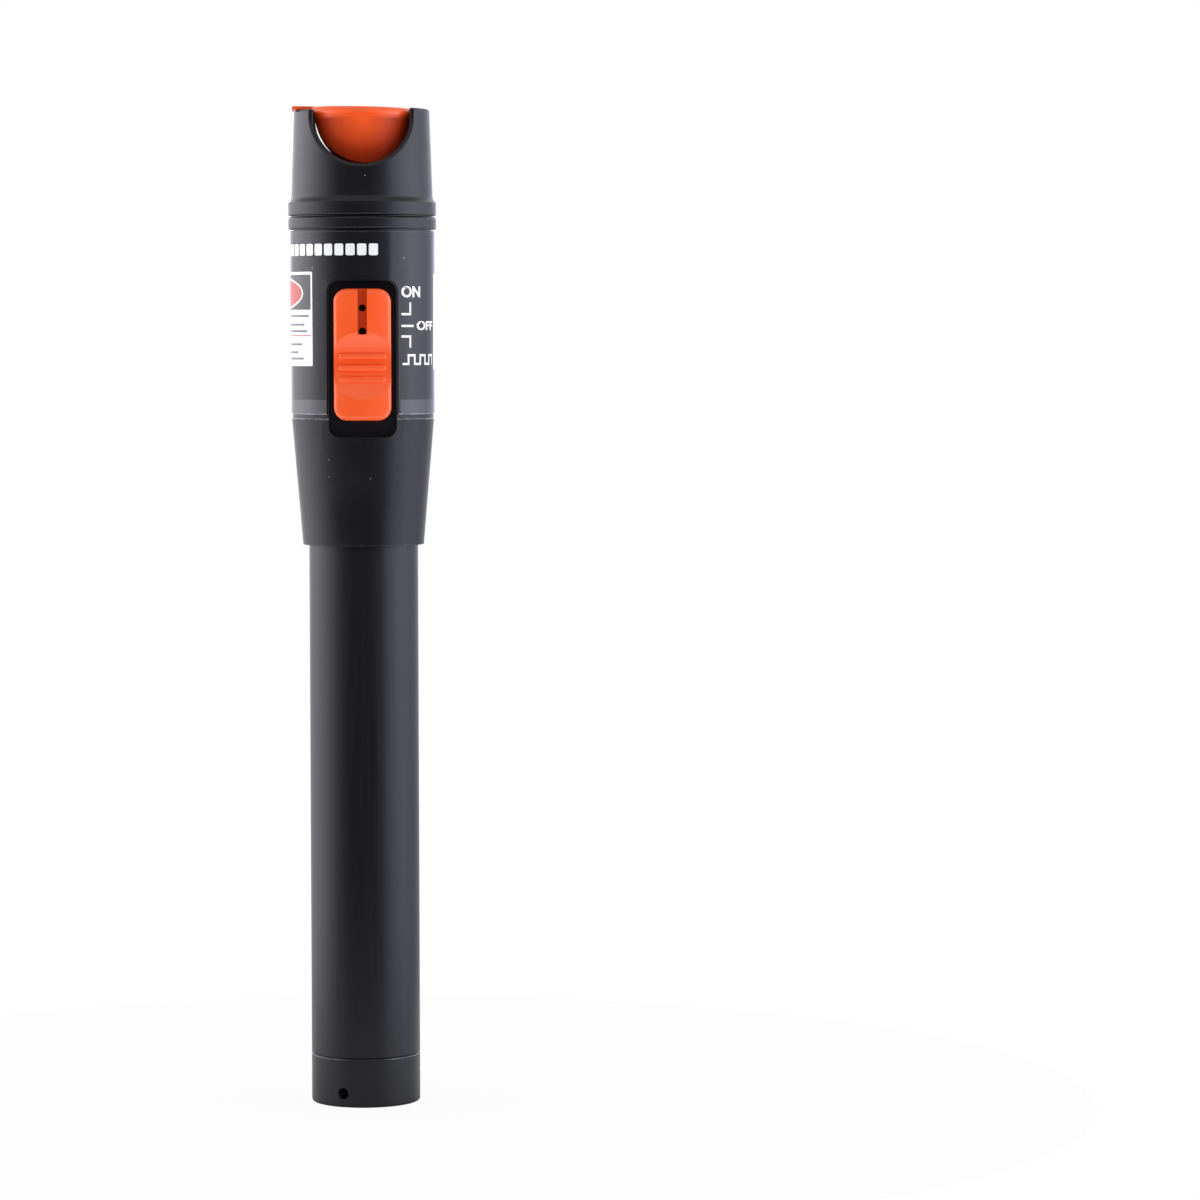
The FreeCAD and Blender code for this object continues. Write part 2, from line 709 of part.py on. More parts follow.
def resistors():
    x = BOARD_WIDTH / 2 - RESISTOR_SIZE[0] - PART_GAP
    return Part.makeCompound([on_board(RESISTOR_SIZE, x, z) for z in resistor_heights()])


def resistor_heights():
    top = board_top_z - RESISTOR_SIZE[2] - PART_GAP
    return [top - i * RESISTOR_PITCH for i in range(RESISTOR_COUNT)]


def power_coil():
    x = SWITCH_WIDTH / 2 + SLIDING_GAP + COIL_RADIUS
    z = min(resistor_heights()) - PART_GAP - COIL_RADIUS
    return rod_y(COIL_RADIUS, x, board_front_y - COIL_HEIGHT, board_front_y, z)


def capacitors():
    x = -BOARD_WIDTH / 2 + CAPACITOR_RADIUS + PART_GAP
    top = board_top_z - CAPACITOR_RADIUS - PART_GAP
    y0 = board_front_y - CAPACITOR_HEIGHT
    heights = [top, top - 2 * CAPACITOR_RADIUS - PART_GAP]
    return Part.makeCompound([rod_y(CAPACITOR_RADIUS, x, y0, board_front_y, z) for z in heights])


# ---- laser module and adapter ----

def module_steps():
    """Heights inside the module: diode seat, lens seat."""
    seat = module_z + DIODE_FLANGE_HEIGHT + CONTACT_SHEET
    lens_seat = seat + DIODE_CAN_HEIGHT + BEAM_LENGTH
    return seat, lens_seat


def laser_holder():
    seat, lens_seat = module_steps()
    return turned([
        (DIODE_FLANGE_RADIUS + RUNNING_GAP, module_z),
        (MODULE_RADIUS, module_z),
        (MODULE_RADIUS, module_flange_z),
        (MODULE_FLANGE_RADIUS, module_flange_z),
        (MODULE_FLANGE_RADIUS, spigot_z),
        (MODULE_RADIUS, spigot_z),
        (MODULE_RADIUS, module_top_z),
        (STOP_RADIUS + SEAT_GAP, module_top_z),
        (STOP_RADIUS + SEAT_GAP, stop_z),
        (LENS_RADIUS + RUNNING_GAP, stop_z),
        (LENS_RADIUS + RUNNING_GAP, lens_seat),
        (BEAM_RADIUS, lens_seat),
        (BEAM_RADIUS, seat),
        (DIODE_FLANGE_RADIUS + RUNNING_GAP, seat),
    ])


def laser_diode():
    seat = module_steps()[0]
    z0 = seat - DIODE_FLANGE_HEIGHT
    diode = disc(DIODE_FLANGE_RADIUS, z0, seat).fuse(disc(DIODE_CAN_RADIUS, seat, seat + DIODE_CAN_HEIGHT))
    places = ((-DIODE_LEAD_OFFSET, 0), (DIODE_LEAD_OFFSET, 0), (0, DIODE_LEAD_OFFSET))
    for x, y in places:
        foot = at(x, y, z0 - DIODE_LEAD_LENGTH)
        diode = diode.fuse(Part.makeCylinder(DIODE_LEAD_RADIUS, DIODE_LEAD_LENGTH, foot, ALONG_Z))
    return diode


def focus_lens():
    z0 = module_steps()[1]
    z1 = z0 + LENS_EDGE + LENS_BULGE
    dome = Part.makeSphere(lens_ball_radius(), at(0, 0, z1 - lens_ball_radius()))
    return disc(LENS_RADIUS, z0, z1).common(dome)


def lens_ball_radius():
    return (LENS_RADIUS ** 2 + LENS_BULGE ** 2) / (2 * LENS_BULGE)


def lens_ring():
    clear = LENS_RADIUS - LENS_RING_WALL
    ball = lens_ball_radius()
    dome_drop = ball - math.sqrt(ball ** 2 - clear ** 2)
    z0 = module_steps()[1] + LENS_EDGE + LENS_BULGE - dome_drop + SEAT_GAP
    return turned([
        (clear, z0),
        (LENS_RADIUS, z0),
        (LENS_RADIUS, z0 + LENS_RING_HEIGHT),
        (clear, z0 + LENS_RING_HEIGHT),
    ])


def ferrule_stop():
    """The washer that a ferrule butts against, with the hole that the light comes through."""
    return tube(STOP_RADIUS, LIGHT_HOLE_RADIUS, stop_z, module_top_z)


def fibre_adapter():
    bore = FERRULE_BORE_RADIUS + SLEEVE_WALL + RUNNING_GAP
    skirt_bore = MODULE_RADIUS + RUNNING_GAP
    sleeve_top = module_top_z + SLEEVE_LENGTH + RUNNING_GAP
    body = turned([
        (skirt_bore, web_top_z),
        (ADAPTER_SKIRT_RADIUS, web_top_z),
        (ADAPTER_SKIRT_RADIUS, adapter_step_z - ADAPTER_BEVEL),
        (ADAPTER_SKIRT_RADIUS - ADAPTER_BEVEL, adapter_step_z),
        (ADAPTER_TUBE_RADIUS, adapter_step_z),
        (ADAPTER_TUBE_RADIUS, adapter_top_z - ADAPTER_BEVEL),
        (ADAPTER_TUBE_RADIUS - ADAPTER_BEVEL, adapter_top_z),
        (ADAPTER_LIP_RADIUS + ADAPTER_LIP, adapter_top_z),
        (ADAPTER_LIP_RADIUS, sleeve_top),
        (bore, sleeve_top),
        (bore, adapter_floor_z),
        (skirt_bore, adapter_floor_z),
    ])
    flat = ADAPTER_FLAT_WIDTH / 2
    jaw = box(flat, CUT_LENGTH, -CUT_LENGTH, CUT_LENGTH, web_top_z - CUT_OVER, adapter_step_z + SEAT_GAP)
    other_jaw = jaw.mirror(CENTRE, ALONG_X)
    return body.cut([jaw, other_jaw])


def ferrule_sleeve():
    z1 = module_top_z + SLEEVE_LENGTH
    sleeve = tube(FERRULE_BORE_RADIUS + SLEEVE_WALL, FERRULE_BORE_RADIUS, module_top_z, z1)
    half = SLEEVE_SLIT / 2
    return sleeve.cut(box(-half, half, 0, CUT_LENGTH, module_top_z - CUT_OVER, z1 + CUT_OVER))


# ---- bulkhead and hood ----

def front_bulkhead():
    spigot = housing_bore_radius - RUNNING_GAP
    neck = hood_bore_radius - RUNNING_GAP
    inside = neck - BULKHEAD_WALL
    neck_top = hood_z + NECK_HEIGHT
    body = turned([
        (MODULE_RADIUS + RUNNING_GAP, spigot_z),
        (spigot, spigot_z),
        (spigot, housing_top_z),
        (ring_seat_radius, housing_top_z),
        (ring_seat_radius, ring_z),
        (RING_RADIUS, ring_z),
        (RING_RADIUS, groove_z),
        (groove_radius, groove_z),
        (groove_radius, hood_z - SEAT_GAP),
        (neck, hood_z - SEAT_GAP),
        (neck, neck_top),
        (inside, neck_top),
        (inside, web_top_z),
        (MODULE_RADIUS + RUNNING_GAP, web_top_z),
    ])
    body = round_edges(body, RING_ROUND, ring_edge(RING_RADIUS, ring_z))
    return round_edges(body, RING_TOP_ROUND, ring_edge(RING_RADIUS, groove_z))


def window_cutter():
    """The U-shaped window through the hood's front and back."""
    z = hood_top_z - WINDOW_CENTRE_DROP
    half = CUT_LENGTH / 2
    round_foot = rod_y(window_radius, 0, -half, half, z)
    sides = box(-window_radius, window_radius, -half, half, z, hood_top_z + CUT_OVER)
    return round_foot.fuse(sides).removeSplitter()


def knuckle_pocket():
    """Room in the right ear for the lid's knuckle, open at the rim."""
    radius = KNUCKLE_RADIUS + KNUCKLE_POCKET_GAP
    half = KNUCKLE_LENGTH / 2 + KNUCKLE_POCKET_GAP
    round_foot = rod_y(radius, hinge_x, -half, half, hinge_z)
    above = box(hinge_x - radius - CUT_OVER, hinge_x + radius, -half, half, hinge_z, hood_top_z + CUT_OVER)
    return round_foot.fuse(above).removeSplitter()


def hinge_pin_rod(radius, extra):
    half = HINGE_PIN_LENGTH / 2 + extra
    return rod_y(radius, hinge_x, -half, half, hinge_z)


def nose_hood():
    ring_top = hood_z + HOOD_RING_HEIGHT
    waist_z = ring_top + HOOD_FLARE_HEIGHT
    bend = (hood_waist_radius + HOOD_FLARE_BEND, ring_top + HOOD_FLARE_HEIGHT / 2)
    hood = turned([
        (hood_bore_radius, hood_z),
        (RING_RADIUS, hood_z),
        (RING_RADIUS, ring_top),
        (bend, (hood_waist_radius, waist_z)),
        (hood_mouth_radius, hood_top_z),
        (hood_bore_radius, hood_top_z),
    ])
    hood = round_edges(hood, RING_ROUND, ring_edge(RING_RADIUS, hood_z))
    seat_z = hood_top_z - TAB_SEAT_DEPTH
    tab_seat = box(-CUT_LENGTH, 0, -CUT_LENGTH, CUT_LENGTH, seat_z, hood_top_z + CUT_OVER)
    hood = hood.cut([window_cutter(), tab_seat])

    def on_window(edge):
        start = edge.Vertexes[0]
        outside = math.hypot(start.X, start.Y) > hood_bore_radius + HOOD_WALL / 4
        return outside and edge.BoundBox.ZLength > window_radius / 4 and edge.BoundBox.YLength > MATCH

    hood = round_edges(hood, WINDOW_EDGE_ROUND, on_window)

    def on_rim(edge):
        return edge.BoundBox.ZMin > seat_z - MATCH

    hood = round_edges(hood, HOOD_RIM_ROUND, on_rim)
    return hood.cut([knuckle_pocket(), hinge_pin_rod(HINGE_PIN_RADIUS + SEAT_GAP, SEAT_GAP)])


def hinge_pin():
    return hinge_pin_rod(HINGE_PIN_RADIUS, 0)


# ---- lid ----

def lid_plate(radius):
    """The lid's round top, with a rounded upper edge and its end cut straight for the hinge."""
    top = hood_top_z + LID_RISE
    plate = disc(radius, top - LID_THICKNESS, top)
    plate = round_edges(plate, LID_EDGE_ROUND, ring_edge(radius, top))
    return plate.common(box(-CUT_LENGTH, lid_end_x, -CUT_LENGTH, CUT_LENGTH, top - LID_THICKNESS, top))


def lid_tab():
    """The thumb tab that lies over the left ear, with a small lip outside it."""
    top = hood_top_z + LID_RISE
    half = LID_TAB_WIDTH / 2
    end_x = -hood_mouth_radius - LID_TAB_OVERHANG
    lip_x = -hood_mouth_radius - LID_TAB_OVERHANG / 4
    underside = hood_top_z - TAB_SEAT_DEPTH - tab_lift() + SLIDING_GAP
    slab = box(end_x, 0, -half, half, underside, top)
    lip = box(end_x, lip_x, -half, half, underside - LID_TAB_LIP, top)
    tab = slab.fuse(lip).removeSplitter()

    def outer_top(edge):
        centre = edge.CenterOfMass
        return abs(centre.x - end_x) < MATCH and abs(centre.z - top) < MATCH

    return round_edges(tab, LID_TAB_ROUND, outer_top)


def tab_lift():
    """How far the shut lid's tilt raises the tab over the inner edge of the ear."""
    return (hinge_x + hood_bore_radius) * math.tan(math.radians(LID_SEAT_TILT))


def lid_tongues(radius):
    """The two curved tongues that fill the hood's windows from inside."""
    top = hood_top_z + LID_RISE - LID_THICKNESS
    foot = hood_top_z - LID_TONGUE_DROP - lid_tongue_radius - LID_TONGUE_FOOT
    skirt = turned([
        (radius - LID_TONGUE_WALL, foot),
        (radius - LID_TONGUE_DRAFT, foot),
        (radius - LID_TONGUE_INSET, top + SEAT_GAP),
        (radius - LID_TONGUE_WALL, top + SEAT_GAP),
    ])
    half = CUT_LENGTH / 2
    z = hood_top_z - LID_TONGUE_DROP
    outline = rod_y(lid_tongue_radius, LID_TONGUE_SHIFT, -half, half, z)
    limit = box(-half, lid_end_x, -half, half, foot, top + SEAT_GAP)
    tongues = skirt.common(outline).common(limit)

    def outer_rim(edge):
        start = edge.Vertexes[0]
        on_outline = abs(math.hypot(start.X - LID_TONGUE_SHIFT, start.Z - z) - lid_tongue_radius) < MATCH
        outside = math.hypot(start.X, start.Y) > radius - LID_TONGUE_WALL / 2
        return on_outline and outside and edge.BoundBox.ZLength > lid_tongue_radius / 4

    return round_edges(tongues, LID_TONGUE_ROUND, outer_rim)


def lid_knuckle():
    half = KNUCKLE_LENGTH / 2
    knuckle = rod_y(KNUCKLE_RADIUS, hinge_x, -half, half, hinge_z)
    arm_top = hinge_z + KNUCKLE_RADIUS
    arm = box(lid_end_x - CUT_OVER, hinge_x, -half, half, hinge_z - KNUCKLE_RADIUS / 2, arm_top)
    return knuckle.fuse(arm)


def flip_lid():
    radius = hood_bore_radius - SWING_GAP
    lid = lid_plate(radius)
    for piece in [lid_tab(), lid_knuckle(), lid_tongues(radius)]:
        lid = lid.fuse(piece)
    lid = lid.removeSplitter().cut(hinge_pin_rod(HINGE_PIN_RADIUS + HINGE_PIN_GAP, CUT_OVER))
    lid.rotate(at(hinge_x, 0, hinge_z), ALONG_Y, LID_SEAT_TILT)
    return lid


NODES = {
    "tail_cap": tail_cap,
    "seal_ring": seal_ring,
    "tail_contact": tail_contact,
    "tail_spring": tail_spring,
    "cell_rear": lambda: cell(rear_cell_z),
    "cell_front": lambda: cell(front_cell_z),
    "barrel_tube": barrel_tube,
    "front_contact": front_contact,
    "contact_insulator": contact_insulator,
    "ground_clip": ground_clip,
    "housing": housing,
    "label_film": label_film,
    "slide_knob": slide_knob,
    "switch_stem": switch_stem,
    "switch_case": switch_case,
    "switch_base": switch_base,
    "switch_pins": switch_pins,
    "circuit_board": circuit_board,
    "driver_chip": driver_chip,
    "trimmer": trimmer,
    "power_coil": power_coil,
    "capacitors": capacitors,
    "resistors": resistors,
    "laser_holder": laser_holder,
    "laser_diode": laser_diode,
    "focus_lens": focus_lens,
    "lens_ring": lens_ring,
    "ferrule_stop": ferrule_stop,
    "fibre_adapter": fibre_adapter,
    "ferrule_sleeve": ferrule_sleeve,
    "front_bulkhead": front_bulkhead,
    "nose_hood": nose_hood,
    "hinge_pin": hinge_pin,
    "flip_lid": flip_lid,
}

os.makedirs("parts", exist_ok=True)
for name, make in NODES.items():
    make().exportStep("parts/" + name + ".step")
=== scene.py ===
import math
import bpy
from mathutils import Matrix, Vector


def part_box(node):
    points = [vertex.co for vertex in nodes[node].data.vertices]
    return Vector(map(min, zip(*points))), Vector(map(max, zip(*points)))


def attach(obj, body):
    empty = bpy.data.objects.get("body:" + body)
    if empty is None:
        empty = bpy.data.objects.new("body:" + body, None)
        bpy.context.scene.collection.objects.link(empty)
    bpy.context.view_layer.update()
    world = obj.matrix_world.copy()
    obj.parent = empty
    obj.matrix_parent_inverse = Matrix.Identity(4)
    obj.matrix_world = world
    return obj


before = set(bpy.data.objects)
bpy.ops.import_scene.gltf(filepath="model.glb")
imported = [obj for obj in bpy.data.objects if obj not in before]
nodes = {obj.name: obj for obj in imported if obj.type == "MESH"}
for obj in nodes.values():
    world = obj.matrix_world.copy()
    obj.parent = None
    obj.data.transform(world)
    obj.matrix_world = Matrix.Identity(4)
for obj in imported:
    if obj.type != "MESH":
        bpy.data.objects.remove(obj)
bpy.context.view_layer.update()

MM = 0.001
FILM_LOW, FILM_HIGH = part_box("label_film")
FILM_RADIUS = FILM_HIGH.x

# How bright the studio's walls are by direction, in degrees from the camera's side, with the left negative.
WALL_LIGHT = (
    (-180, 0.46), (-144, 0.40), (-120, 0.80), (-95, 1.0), (-73, 0.62), (-56, 0.24), (-40, 0.06), (-25, 0.03),
    (15, 0.03), (33, 0.09), (43, 0.13), (47, 0.60), (65, 0.80), (83, 0.98), (102, 0.64), (122, 0.33),
    (136, 0.26), (180, 0.42))
LEFT_TINT = (0.98, 0.98, 1.06)
RIGHT_TINT = (0.94, 0.97, 1.16)
FLOOR_RADIUS = 0.13
FLOOR_CLEAR = 0.93          # share of the camera's view that passes through the floor

# How many times a metre each pattern repeats.
BROAD_GRAIN = 300
FINE_GRAIN = 2600
DUST_CELLS = 300

PAINTED_HIGHLIGHT_HALF_WIDTH = 0.0001  # half width of a painted highlight line along a rounded edge, in metres

# Print is measured in millimetres.
INK_COLUMN = 0.4            # width of the strips that bend round the film
INK_LIFTS = (0.015, 0.025, 0.035, 0.045, 0.055)  # above the film, from the first ink laid to the last
RULE_HALF_HEIGHT = 0.2


# ---- shader nodes ----

def add_node(tree, kind, values=None, **settings):
    """A shader node with its settings, and its inputs set to a value or joined to another node's output."""
    made = tree.nodes.new(kind)
    for name, value in settings.items():
        setattr(made, name, value)
    for socket, value in (values or {}).items():
        if isinstance(value, bpy.types.NodeSocket):
            tree.links.new(value, made.inputs[socket])
        else:
            made.inputs[socket].default_value = value
    return made


def work_out(tree, operation, *values):
    """The result of one sum."""
    return add_node(tree, "ShaderNodeMath", dict(enumerate(values)), operation=operation).outputs[0]


def carry(tree, value, start, end, first, last, **settings):
    """Carry the range from start to end over to the range from first to last, and go no further."""
    made = add_node(tree, "ShaderNodeMapRange", {"Value": value, "From Min": start, "From Max": end,
                    "To Min": first, "To Max": last}, **settings)
    return made.outputs[0]


def split(tree, place):
    """The X, Y and Z of a place, each an output by that name."""
    return add_node(tree, "ShaderNodeSeparateXYZ", {0: place}).outputs


def flat_length(tree, across, up):
    """The distance of a point from the origin in a plane."""
    flat = add_node(tree, "ShaderNodeCombineXYZ", {0: across, 1: up})
    return add_node(tree, "ShaderNodeVectorMath", {0: flat.outputs[0]}, operation="LENGTH").outputs["Value"]


def mix(tree, share, first, last):
    """Mix two colours, each written as red, green and blue or taken from another node."""
    ends = [(*end, 1) if isinstance(end, tuple) else end for end in (first, last)]
    made = add_node(tree, "ShaderNodeMix", {"Factor": share, 6: ends[0], 7: ends[1]}, data_type="RGBA")
    return made.outputs[2]


def set_stops(ramp, stops):
    """Colour ramp stops as (place, colour)."""
    bar = ramp.color_ramp
    while len(bar.elements) > 1:
        bar.elements.remove(bar.elements[0])
    for i, (place, colour) in enumerate(stops):
        stop = bar.elements[0] if i == 0 else bar.elements.new(place)
        stop.position = place
        stop.color = (*colour, 1)


# ---- camera, studio and floor ----

def place_camera():
    """Looks along +Y and a little down from the switch's height, with the pen left of the middle."""
    distance, eye_height = 0.830, 0.137
    turn, pan = math.radians(-0.3), math.radians(2.896)
    pitch, roll = math.radians(3.291), math.radians(-0.101)
    lens = bpy.data.cameras.new("camera")
    lens.sensor_width = 36
    lens.lens = 140.20
    lens.clip_start, lens.clip_end = 0.05, 20
    camera = bpy.data.objects.new("camera", lens)
    bpy.context.scene.collection.objects.link(camera)
    place = Matrix.Translation((-distance * math.sin(turn), -distance * math.cos(turn), eye_height))
    aim = Matrix.Rotation(-turn - pan, 4, "Z") @ Matrix.Rotation(math.pi / 2 - pitch, 4, "X")
    camera.matrix_world = place @ aim @ Matrix.Rotation(roll, 4, "Z")
    bpy.context.scene.camera = camera


def light_studio():
    """A soft room: bright walls at both sides, dimmer ones behind the pen, dark on the camera's side, under a
    plain ceiling and over a white floor. The camera sees plain white in its place."""
    world = bpy.data.worlds.new("studio")
    bpy.context.scene.world = world
    world.use_nodes = True
    tree = world.node_tree
    tree.nodes.clear()
    direction = split(tree, add_node(tree, "ShaderNodeTexCoord").outputs["Generated"])
    height = direction["Z"]
    turn = work_out(tree, "ARCTAN2", direction["X"], work_out(tree, "MULTIPLY", direction["Y"], -1.0))
    walls = add_node(tree, "ShaderNodeValToRGB", {0: carry(tree, turn, -math.pi, math.pi, 0.0, 1.0)})
    stops = []
    for degrees, light in WALL_LIGHT:
        tint = LEFT_TINT if degrees < 0 else RIGHT_TINT
        stops.append(((degrees + 180) / 360, tuple(light * part for part in tint)))
    set_stops(walls, stops)
    rising = carry(tree, height, -0.11, 0.05, 2.05, 4.2)
    wall_light = add_node(tree, "ShaderNodeVectorMath", {0: walls.outputs[0], "Scale": rising},
                          operation="SCALE").outputs[0]
    ceiling_light = carry(tree, height, 0.50, 0.76, 1.1, 0.8, interpolation_type="SMOOTHSTEP")
    floor_light = (2.3, 2.3, 2.3)
    in_ceiling = carry(tree, height, 0.30, 0.46, 0.0, 1.0, interpolation_type="SMOOTHSTEP")
    in_floor = carry(tree, height, -0.62, -0.32, 1.0, 0.0, interpolation_type="SMOOTHSTEP")
    room = mix(tree, in_floor, mix(tree, in_ceiling, wall_light, ceiling_light), floor_light)
    path = add_node(tree, "ShaderNodeLightPath")
    seen = mix(tree, path.outputs["Is Camera Ray"], room, (1, 1, 1))
    shine = add_node(tree, "ShaderNodeBackground", {"Color": seen, "Strength": 1.0})
    tree.links.new(shine.outputs[0], add_node(tree, "ShaderNodeOutputWorld").inputs["Surface"])


def lay_floor():
    """A small pale table top under the pen. The camera sees the white room through it, with the pen's soft
    shadow on it, and the cap where it is unscrewed below it."""
    bpy.ops.mesh.primitive_circle_add(vertices=96, radius=FLOOR_RADIUS, fill_type="NGON")
    floor = bpy.context.object
    floor.name = "floor"
    floor.data.materials.append(floor_paint())


def floor_paint():
    """Matt to every other ray, and mostly clear to the camera's."""
    paint = bpy.data.materials.new("floor_white")
    paint.use_nodes = True
    tree = paint.node_tree
    tree.nodes.clear()
    path = add_node(tree, "ShaderNodeLightPath")
    matt = add_node(tree, "ShaderNodeBsdfDiffuse", {"Color": (0.8, 0.8, 0.8, 1)})
    clear = add_node(tree, "ShaderNodeBsdfTransparent", {"Color": (1, 1, 1, 1)})
    share = work_out(tree, "MULTIPLY", path.outputs["Is Camera Ray"], FLOOR_CLEAR)
    seen = add_node(tree, "ShaderNodeMixShader", {0: share, 1: matt.outputs[0], 2: clear.outputs[0]})
    tree.links.new(seen.outputs[0], add_node(tree, "ShaderNodeOutputMaterial").inputs["Surface"])
    return paint


# ---- parts of a finish ----

def start_finish(name, base, roughness, **sockets):
    """A material with a plain shader, ready for its grain. Returns the material, its tree and shader."""
    finish = bpy.data.materials.new(name)
    finish.use_nodes = True
    tree = finish.node_tree
    shader = tree.nodes["Principled BSDF"]
    shader.inputs["Base Color"].default_value = (*base, 1)
    shader.inputs["Roughness"].default_value = roughness
    for socket, value in sockets.items():
        shader.inputs[socket.replace("_", " ")].default_value = value
    return finish, tree, shader


def object_place(tree, stretch=(1, 1, 1)):
    place = add_node(tree, "ShaderNodeTexCoord")
    spread = add_node(tree, "ShaderNodeMapping", {"Vector": place.outputs["Object"], "Scale": stretch})
    return spread.outputs[0]


def grain(tree, place, scale, detail=2.0):
    made = add_node(tree, "ShaderNodeTexNoise", {"Vector": place, "Scale": scale, "Detail": detail})
    return made.outputs[0]


def vary(tree, pattern, low, high):
    """Spread a grain, which seldom leaves 0.3 to 0.7, over a range."""
    return carry(tree, pattern, 0.3, 0.7, low, high)


def bluish(level, blue):
    """A grey with its blue raised by a factor."""
    return level, level, level * blue


def press_bump(tree, shader, height, strength, distance=0.00001):
    bump = add_node(tree, "ShaderNodeBump", {"Height": height, "Strength": strength,
                    "Distance": distance})
    tree.links.new(bump.outputs[0], shader.inputs["Normal"])


def mottle(tree, shader, pattern, colour, darkest, smoothest, roughest):
    """Vary a colour down to a share of itself, and the roughness between two values, with one pattern."""
    dark = tuple(part * darkest for part in colour)
    tree.links.new(mix(tree, vary(tree, pattern, 0, 1), dark, colour), shader.inputs["Base Color"])
    tree.links.new(vary(tree, pattern, smoothest, roughest), shader.inputs["Roughness"])


def dust(tree, place, reach, share):
    """A mask of rare small specks: 1 on a speck and 0 elsewhere. reach is a speck's radius in cells."""
    cells = add_node(tree, "ShaderNodeTexVoronoi", {"Vector": place, "Scale": DUST_CELLS})
    near = work_out(tree, "LESS_THAN", cells.outputs["Distance"], reach)
    pick = add_node(tree, "ShaderNodeSeparateColor", {0: cells.outputs["Color"]})
    return work_out(tree, "MULTIPLY", near, work_out(tree, "LESS_THAN", pick.outputs[0], share))


def painted_highlight_line(tree, place, height, radius):
    """A mask of one broken painted highlight line round the pen at a height in metres, outside a radius,
    where a rounded edge catches the light.
    """
    parts = split(tree, place)
    on_line = work_out(tree, "COMPARE", parts["Z"], height, PAINTED_HIGHLIGHT_HALF_WIDTH)
    outside = work_out(tree, "GREATER_THAN", flat_length(tree, parts["X"], parts["Y"]), radius)
    broken = vary(tree, grain(tree, place, 900), 0.2, 1.0)
    return work_out(tree, "MULTIPLY", work_out(tree, "MULTIPLY", on_line, outside), broken)


def slot_painted_shade(tree, place):
    """A mask of painted shade on the floor of the slider's slot, stronger the deeper it lies."""
    low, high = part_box("slide_knob")
    half_width, foot = 0.00085, high.z - 0.0082
    parts = split(tree, place)
    across = work_out(tree, "COMPARE", parts["X"], 0.0, half_width)
    depth = carry(tree, parts["Y"], low.y + 0.0004, low.y + 0.0010, 0.0, 0.52)
    above = work_out(tree, "GREATER_THAN", parts["Z"], foot)
    return work_out(tree, "MULTIPLY", work_out(tree, "MULTIPLY", across, depth), above)


def tongue_painted_shade(tree, place):
    """A mask of painted shade on the lid's tongues, stronger towards the rims of the windows that they stand
    back in.
    """
    centre_height, window_radius, ear_inside = 0.1745, 0.0060, 0.0083
    fade_start, fade_end = 0.1742, 0.1752
    parts = split(tree, place)
    drop = work_out(tree, "SUBTRACT", parts["Z"], centre_height)
    edge = carry(tree, flat_length(tree, parts["X"], drop), 0.0, window_radius, 0.04, 0.78)
    below = carry(tree, parts["Z"], fade_start, fade_end, 1.0, 0.0)
    between = work_out(tree, "COMPARE", parts["X"], 0.0, ear_inside)
    return work_out(tree, "MULTIPLY", edge, work_out(tree, "MULTIPLY", below, between))


# ---- finishes ----

def moulded_black(name, painted_highlights=()):
    """Black plastic; the last argument lists painted highlight lines where rounded edges catch the light, as
    height, least radius and brightness.
    """
    base, roughness = 0.0068, 0.31
    finish, tree, shader = start_finish(name, (base,) * 3, roughness, Specular_IOR_Level=0.335)
    place = object_place(tree)
    broad = grain(tree, place, 160)
    tree.links.new(vary(tree, broad, roughness - 0.03, roughness + 0.03), shader.inputs["Roughness"])
    shade = mix(tree, vary(tree, broad, 0, 1), (base * 0.8, base * 0.8, base), bluish(base, 1.4))
    shade = mix(tree, dust(tree, place, 0.04, 0.4), shade, (0.14, 0.14, 0.15))
    for height, radius, light in painted_highlights:
        # painted highlights: bright lines where rounded edges catch the light
        shade = mix(tree, painted_highlight_line(tree, place, height, radius), shade, bluish(light, 1.08))
    tree.links.new(shade, shader.inputs["Base Color"])
    press_bump(tree, shader, grain(tree, place, FINE_GRAIN, 3), 0.10, 0.00002)
    return finish


def anodised_black(name, highlight_height=None):
    """Black tube drawn lengthwise; the last argument is the height of a painted highlight along the cap's
    edge, only at the sides.
    """
    base = 0.0082
    finish, tree, shader = start_finish(name, (base,) * 3, 0.33, Specular_IOR_Level=0.335)
    place = object_place(tree)
    streak = grain(tree, object_place(tree, (1, 1, 0.03)), 1400, 3)
    tree.links.new(vary(tree, streak, 0.30, 0.36), shader.inputs["Roughness"])
    shade = mix(tree, vary(tree, streak, 0, 1), (base * 0.85,) * 3, bluish(base, 1.5))
    # painted highlight along the cap's top edge, at the sides only
    if highlight_height:
        off_middle = work_out(tree, "ABSOLUTE", split(tree, place)["X"])
        side = carry(tree, off_middle, 0.0030, 0.0052, 0.0, 1.0)
        line = work_out(tree, "MULTIPLY", painted_highlight_line(tree, place, highlight_height, 0.0088), side)
        shade = mix(tree, line, shade, (0.18, 0.18, 0.19))
    tree.links.new(shade, shader.inputs["Base Color"])
    press_bump(tree, shader, grain(tree, place, 5200), 0.08)
    return finish


